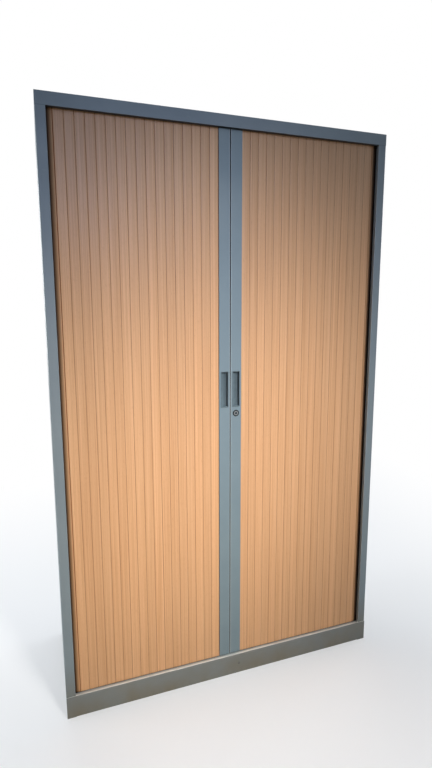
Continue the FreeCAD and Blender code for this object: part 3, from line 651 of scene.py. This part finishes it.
strip_thickness = 0.0022
strip_front = 0.0010
strip_depth = 0.0112
strip_round = 0.0007
strip_smooth_angle = math.radians(40)
post_low, post_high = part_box("right_post")
strip_middle = post_low.x - strip_thickness / 2
strip_low = (post_low.x - strip_thickness, post_low.y + strip_front, post_low.z)
strip_high = (post_low.x, post_low.y + strip_front + strip_depth, post_high.z)
buffer_strip = start_block("buffer_strip", strip_low, strip_high)
bpy.ops.object.mode_set(mode="EDIT")
pick(buffer_strip, "EDGE", lambda edge: all(vertex.co.x < strip_middle for vertex in edge.verts))
bpy.ops.mesh.bevel(offset=strip_round, segments=3)
bpy.ops.object.mode_set(mode="OBJECT")
bpy.ops.object.shade_smooth_by_angle(angle=strip_smooth_angle)

rubber_black = srgb(16, 16, 16)
rubber_bloom = srgb(24, 24, 25)
buffer_rubber, tree, shader, place = new_finish("buffer_rubber", Specular_IOR_Level=0.15)
colour = cloudy(tree, place, scale=90.0, light=rubber_black, deep=rubber_bloom)
tree.links.new(colour, shader["Base Color"])
give_skin(tree, shader, place, scale=1500.0, roughness=(0.7, 0.85), depth=0.00006)
give_finish(buffer_strip, buffer_rubber, "right_door")


# Finger pulls: moulded plastic cups pressed into windows in the posts, with a thin flange round the mouth.
# The floor of each cup slopes from the left down to a deep finger space on the right.

pull_flange = 0.0010
pull_rim = 0.0026
pull_lip = 0.0014
pull_depth = 0.0125
pull_shallow = 0.0030
pull_slope_end = 0.0020
pull_corner = 0.0030
pull_edge = 0.0004
pull_facing = 0.9
pull_round_angle = math.radians(40)
pull_smooth_angle = math.radians(35)
pull_low, pull_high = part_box("right_finger_pull")
flange_back = pull_low.y + pull_flange
cup_floor = pull_low.y + pull_depth
ramp_start = pull_low.x + pull_rim
ramp_end = (pull_low.x + pull_high.x) / 2 + pull_slope_end

# Painted shade inside each cup: the wall facing left, the cup's top end and the deepest part of its floor
# turn dark.
pull_light = srgb(102, 120, 127)
pull_deep = srgb(93, 110, 118)
pull_shade = srgb(34, 40, 43)
finger_wall_span = (-0.4, -0.8)
wall_shade_depth = 0.9
end_shade_reach = 0.0120
end_shade_depth = 0.8
cup_floor_shade_start = 0.0095
cup_floor_shade_depth = 0.25
pull_plastic, tree, shader, place = new_finish("pull_plastic")
colour = cloudy(tree, place, scale=60.0, light=pull_light, deep=pull_deep)
where = axes_of(tree, place)
facing = axes_of(tree, add_node(tree, "ShaderNodeNewGeometry").outputs["Normal"])["X"]
finger_wall = ramp_node(tree, facing, finger_wall_span, (0.0, wall_shade_depth))
cup_end = ramp_node(tree, where["Z"], (pull_high.z - end_shade_reach, pull_high.z - pull_rim - pull_edge),
                    (0.0, end_shade_depth))
inside_cup = ramp_node(tree, where["Y"], (flange_back, pull_low.y + pull_shallow))
wall_shade = product(tree, math_node(tree, "MAXIMUM", finger_wall, cup_end), inside_cup)
cup_floor_shade = ramp_node(tree, where["Y"], (pull_low.y + cup_floor_shade_start, cup_floor),
                        (0.0, cup_floor_shade_depth))
painted_shade = math_node(tree, "MAXIMUM", wall_shade, cup_floor_shade)
tree.links.new(mix_colour(tree, painted_shade, colour, pull_shade), shader["Base Color"])
give_skin(tree, shader, place, scale=2200.0, roughness=(0.38, 0.5), depth=0.00006)

right_pull = start_block("right_pull", pull_low, (pull_high.x, flange_back, pull_high.z))
bpy.ops.object.mode_set(mode="EDIT")
pick(right_pull, "EDGE", lambda edge: abs(edge.verts[0].co.y - edge.verts[1].co.y) > pull_flange / 2)
bpy.ops.mesh.bevel(offset=pull_corner, segments=5)
pick(right_pull, "FACE", lambda face: face.normal.y > pull_facing)
bpy.ops.mesh.inset(thickness=pull_lip)
bpy.ops.mesh.extrude_region_move(TRANSFORM_OT_translate={"value": (0, pull_high.y - flange_back, 0)})
pick(right_pull, "FACE", lambda face: face.normal.y < -pull_facing)
bpy.ops.mesh.inset(thickness=pull_rim)
bpy.ops.mesh.extrude_region_move(TRANSFORM_OT_translate={"value": (0, pull_depth, 0)})
pick(right_pull, "FACE",
     lambda face: face.normal.y < -pull_facing and face.calc_center_median().y > flange_back)
bpy.ops.mesh.bisect(plane_co=(ramp_end, 0, 0), plane_no=(1, 0, 0))
cup = bmesh.from_edit_mesh(right_pull.data)
for vertex in cup.verts:
    if abs(vertex.co.y - cup_floor) < pull_edge / 2 and ramp_start - pull_edge < vertex.co.x < ramp_end:
        vertex.co.y -= (pull_depth - pull_shallow) * (ramp_end - vertex.co.x) / (ramp_end - ramp_start)
bmesh.update_edit_mesh(right_pull.data)
bpy.ops.object.mode_set(mode="OBJECT")
soften = right_pull.modifiers.new("soften", "BEVEL")
soften.width = pull_edge
soften.segments = 3
soften.limit_method = "ANGLE"
soften.angle_limit = pull_round_angle
bpy.ops.object.modifier_apply(modifier="soften")
bpy.ops.object.shade_smooth_by_angle(angle=pull_smooth_angle)
left_move = Matrix.Translation((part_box("left_finger_pull")[0].x - pull_low.x, 0, 0))
left_pull = named(copy_of(right_pull, left_move), "left_pull")
for pull, side in ((left_pull, "left"), (right_pull, "right")):
    give_finish(pull, pull_plastic, f"{side}_door")
    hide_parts(f"{side}_finger_pull")


# Lock: a nickel-plated cylinder with a turned rosette, and a plug with a key slot that turns in it.
# Rings from the lathe show on both. The plug's face is darker, and the rosette's rim carries
# a painted dark reflection.

nickel_light = srgb(180, 183, 184)
nickel_deep = srgb(162, 165, 166)
# Painted reflection: the rosette's rim is coloured dark, as chrome reflecting a dark room.
rim_dark_reflection = srgb(52, 57, 61)
plug_face = srgb(84, 90, 94)
plug_span = (0.0050, 0.0056)
rim_span = (0.0070, 0.0076)
nickel_roughness = (0.22, 0.34)
ring_relief = 0.00002
lock_low, lock_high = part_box("lock_housing")
lock_middle = (lock_low + lock_high) / 2
lock_chrome, tree, shader, place = new_finish("lock_chrome", Metallic=1.0)
from_axis = add_node(tree, "ShaderNodeMapping",
                     {"Vector": place, "Location": (-lock_middle.x, 0, -lock_middle.z)}).outputs["Vector"]
rings = add_node(tree, "ShaderNodeTexWave", {"Vector": from_axis, "Scale": 900.0, "Distortion": 0.6},
                 wave_type="RINGS", rings_direction="Y").outputs["Fac"]
colour = cloudy(tree, place, scale=300.0, light=nickel_light, deep=nickel_deep)
flat = vector_node(tree, "MULTIPLY", from_axis, (1, 0, 1))["Vector"]
from_centre = vector_node(tree, "LENGTH", flat)["Value"]
colour = mix_colour(tree, ramp_node(tree, from_centre, plug_span), plug_face, colour)
colour = mix_colour(tree, ramp_node(tree, from_centre, rim_span), colour, rim_dark_reflection)
tree.links.new(colour, shader["Base Color"])
tree.links.new(ramp_node(tree, rings, (0.0, 1.0), nickel_roughness), shader["Roughness"])
link_bump(tree, shader, rings, ring_relief)
finish_nodes("lock_chrome", lock_chrome)


# Stage: a plain pale floor that fades into a white surround. A key lamp stands high in front, a warm fill
# low on the left and a cool lamp high in the middle, with white ones behind, at both sides and above.
# The camera stands a little to the left of the cupboard, as in the photograph.

def seen_share(tree):
    """1 for what the camera sees, also mirrored or through glass, and 0 for light on its way to a surface."""
    paths = add_node(tree, "ShaderNodeLightPath").outputs
    mirrored = math_node(tree, "MAXIMUM", paths["Is Glossy Ray"], paths["Is Transmission Ray"])
    return math_node(tree, "MAXIMUM", paths["Is Camera Ray"], mirrored)


pure_white = (1, 1, 1, 1)
floor_pale = srgb(238, 240, 241)
floor_bounce = srgb(74, 68, 58)
floor_size = 60.0
floor_fade = 1.8
floor_edge = 0.002
floor_least_white = 0.4
bpy.ops.object.select_all(action="DESELECT")
bpy.ops.mesh.primitive_plane_add(size=floor_size, location=(0, 0, 0))
floor = bpy.context.object
floor.name = "studio_floor"
floor_finish, tree, shader, place = new_finish("studio_floor", Roughness=0.9)
seen = seen_share(tree)
tree.links.new(mix_colour(tree, seen, floor_bounce, floor_pale), shader["Base Color"])
beyond = vector_node(tree, "SUBTRACT", vector_node(tree, "ABSOLUTE", place)["Vector"], cad_box[1])["Vector"]
beyond_axes = axes_of(tree, beyond)
away = math_node(tree, "MAXIMUM", beyond_axes["X"], beyond_axes["Y"])
white_share = product(tree, ramp_node(tree, away, (0.0, floor_fade), (floor_least_white, 1.0)),
                      ramp_node(tree, away, (-floor_edge, 0.0)), seen)
white = add_node(tree, "ShaderNodeEmission", {"Color": pure_white, "Strength": 1.0}).outputs[0]
lit = tree.nodes["Principled BSDF"].outputs[0]
surface = add_node(tree, "ShaderNodeMixShader", {0: white_share, 1: lit, 2: white}).outputs[0]
tree.links.new(surface, tree.nodes["Material Output"].inputs["Surface"])
floor.data.materials.append(floor_finish)

surround_light = 0.19
surround_tint = (0.35, 0.62, 1.0, 1)
world = bpy.data.worlds.new("studio")
bpy.context.scene.world = world
world.use_nodes = True
tree = world.node_tree
seen = seen_share(tree)
background = tree.nodes["Background"].inputs
tree.links.new(mix_colour(tree, seen, surround_tint, pure_white), background["Color"])
tree.links.new(ramp_node(tree, seen, (0.0, 1.0), (surround_light, 1.0)), background["Strength"])


def soft_lamp(name, place, aim, size, power, colour=(1.0, 1.0, 1.0), spread=180):
    """Square softbox turned towards its aim, with a grid that keeps its light to the spread in degrees."""
    light = bpy.data.lights.new(name, "AREA")
    light.shape = "SQUARE"
    light.size = size
    light.energy = power
    light.spread = math.radians(spread)
    light.color = colour
    lamp = bpy.data.objects.new(name, light)
    lamp.location = place
    lamp.rotation_euler = (Vector(aim) - Vector(place)).to_track_quat("-Z", "Y").to_euler()
    bpy.context.scene.collection.objects.link(lamp)


warm_white = (1.0, 0.95, 0.90)
lamplight = (1.0, 0.80, 0.52)
window_blue = (0.50, 0.60, 1.0)
soft_lamp("key_lamp", place=(0.6, -2.6, 2.6), aim=(-0.1, -0.2, 0.66), size=0.7, power=5.1,
          colour=warm_white, spread=39)
soft_lamp("fill_lamp", place=(-1.2, -3.2, 0.6), aim=(-0.1, 0, 0.62), size=1.2, power=2.45,
          colour=lamplight, spread=45)
soft_lamp("sky_lamp", place=(-0.4, -2.7, 2.4), aim=(-0.06, -0.2, 1.34), size=0.7, power=1.3,
          colour=window_blue, spread=42)
soft_lamp("back_lamp", place=(-0.8, 4.0, 1.8), aim=(0, 0, 1.0), size=2.4, power=75)
soft_lamp("left_lamp", place=(-4.0, 0.9, 1.7), aim=(0, 0.2, 1.0), size=2.0, power=75)
soft_lamp("right_lamp", place=(4.0, 0.9, 1.7), aim=(0, 0.2, 1.0), size=2.0, power=75)
soft_lamp("top_lamp", place=(0, 0.6, 4.4), aim=(0, 0.1, 1.9), size=1.4, power=45)

camera_place = (-0.610, -1.612, 1.361)
camera_turn = (82.127, 0.722, -17.555)
lens_length = 13.94
sensor_height = 24.0
frame_shift = (0.0413, -0.0138)
nearest_seen = 0.05
view = bpy.data.cameras.new("photo_view")
view.sensor_fit = "VERTICAL"
view.sensor_height = sensor_height
view.lens = lens_length
view.shift_x, view.shift_y = frame_shift
view.clip_start = nearest_seen
camera = bpy.data.objects.new("photo_view", view)
camera.location = camera_place
camera.rotation_euler = [math.radians(angle) for angle in camera_turn]
bpy.context.scene.collection.objects.link(camera)
bpy.context.scene.camera = camera
bpy.context.scene.view_settings.view_transform = "Standard"
